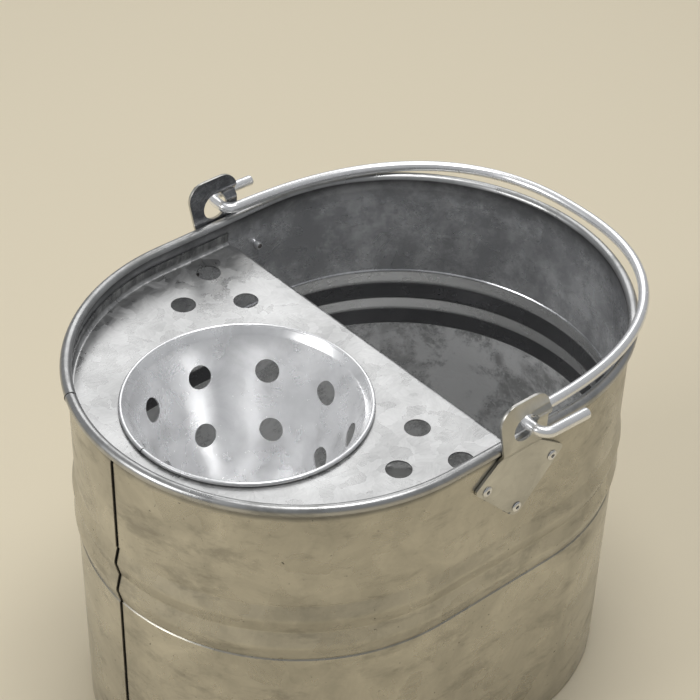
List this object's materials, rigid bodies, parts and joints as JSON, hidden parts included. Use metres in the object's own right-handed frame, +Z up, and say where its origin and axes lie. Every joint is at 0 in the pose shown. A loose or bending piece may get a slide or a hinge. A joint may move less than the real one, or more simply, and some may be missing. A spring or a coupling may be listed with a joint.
{
  "type": "oval mop bucket with wringer cone",
  "caption": "Oval galvanised steel mop bucket with a sieve plate and perforated wringer cone over one half and a swinging wire handle.",
  "frame": {"origin": "bottom centre of the overall box, on the floor under the bucket; the resting handle passes the rim at +X, so the bucket's own centre is 4.4 mm towards -X", "axes": "+Z up; +X along the bucket's length towards its open half, the wringer is at -X; +Y towards the left ear"},
  "size_m": [0.3849, 0.3192, 0.295],
  "materials": {
    "wall_zinc": "satin galvanised steel, warm grey with soft blotches",
    "deck_zinc": "bright galvanised steel with feathery spangle",
    "cone_zinc": "satin galvanised steel, brighter along its slope",
    "pan_zinc": "dull galvanised steel",
    "ear_zinc": "satin galvanised pressed steel",
    "bail_zinc": "bright zinc-plated wire",
    "rim_wire_steel": "plain drawn steel wire, hidden",
    "rivet_aluminium": "satin aluminium",
    "mandrel_steel": "dull steel"
  },
  "bodies": {
    "bucket": {"body_shell": "wall_zinc", "rim_wire": "rim_wire_steel", "base_pan": "pan_zinc", "wringer_deck": "deck_zinc", "wringer_cone": "cone_zinc", "ear_left": "ear_zinc", "rivet_left_1": "rivet_aluminium", "mandrel_left_1": "mandrel_steel", "rivet_left_2": "rivet_aluminium", "mandrel_left_2": "mandrel_steel", "rivet_left_3": "rivet_aluminium", "mandrel_left_3": "mandrel_steel", "ear_right": "ear_zinc", "rivet_right_1": "rivet_aluminium", "mandrel_right_1": "mandrel_steel", "rivet_right_2": "rivet_aluminium", "mandrel_right_2": "mandrel_steel", "rivet_right_3": "rivet_aluminium", "mandrel_right_3": "mandrel_steel"},
    "bail": {"bail_handle": "bail_zinc"}
  },
  "joints": [
    {"name": "bail_swing", "type": "hinge", "parent": "bucket", "child": "bail", "pos_m": [0.00406, 0, 0.2729], "axis": [0, -1, 0], "range_deg": [0, 184]}
  ]
}
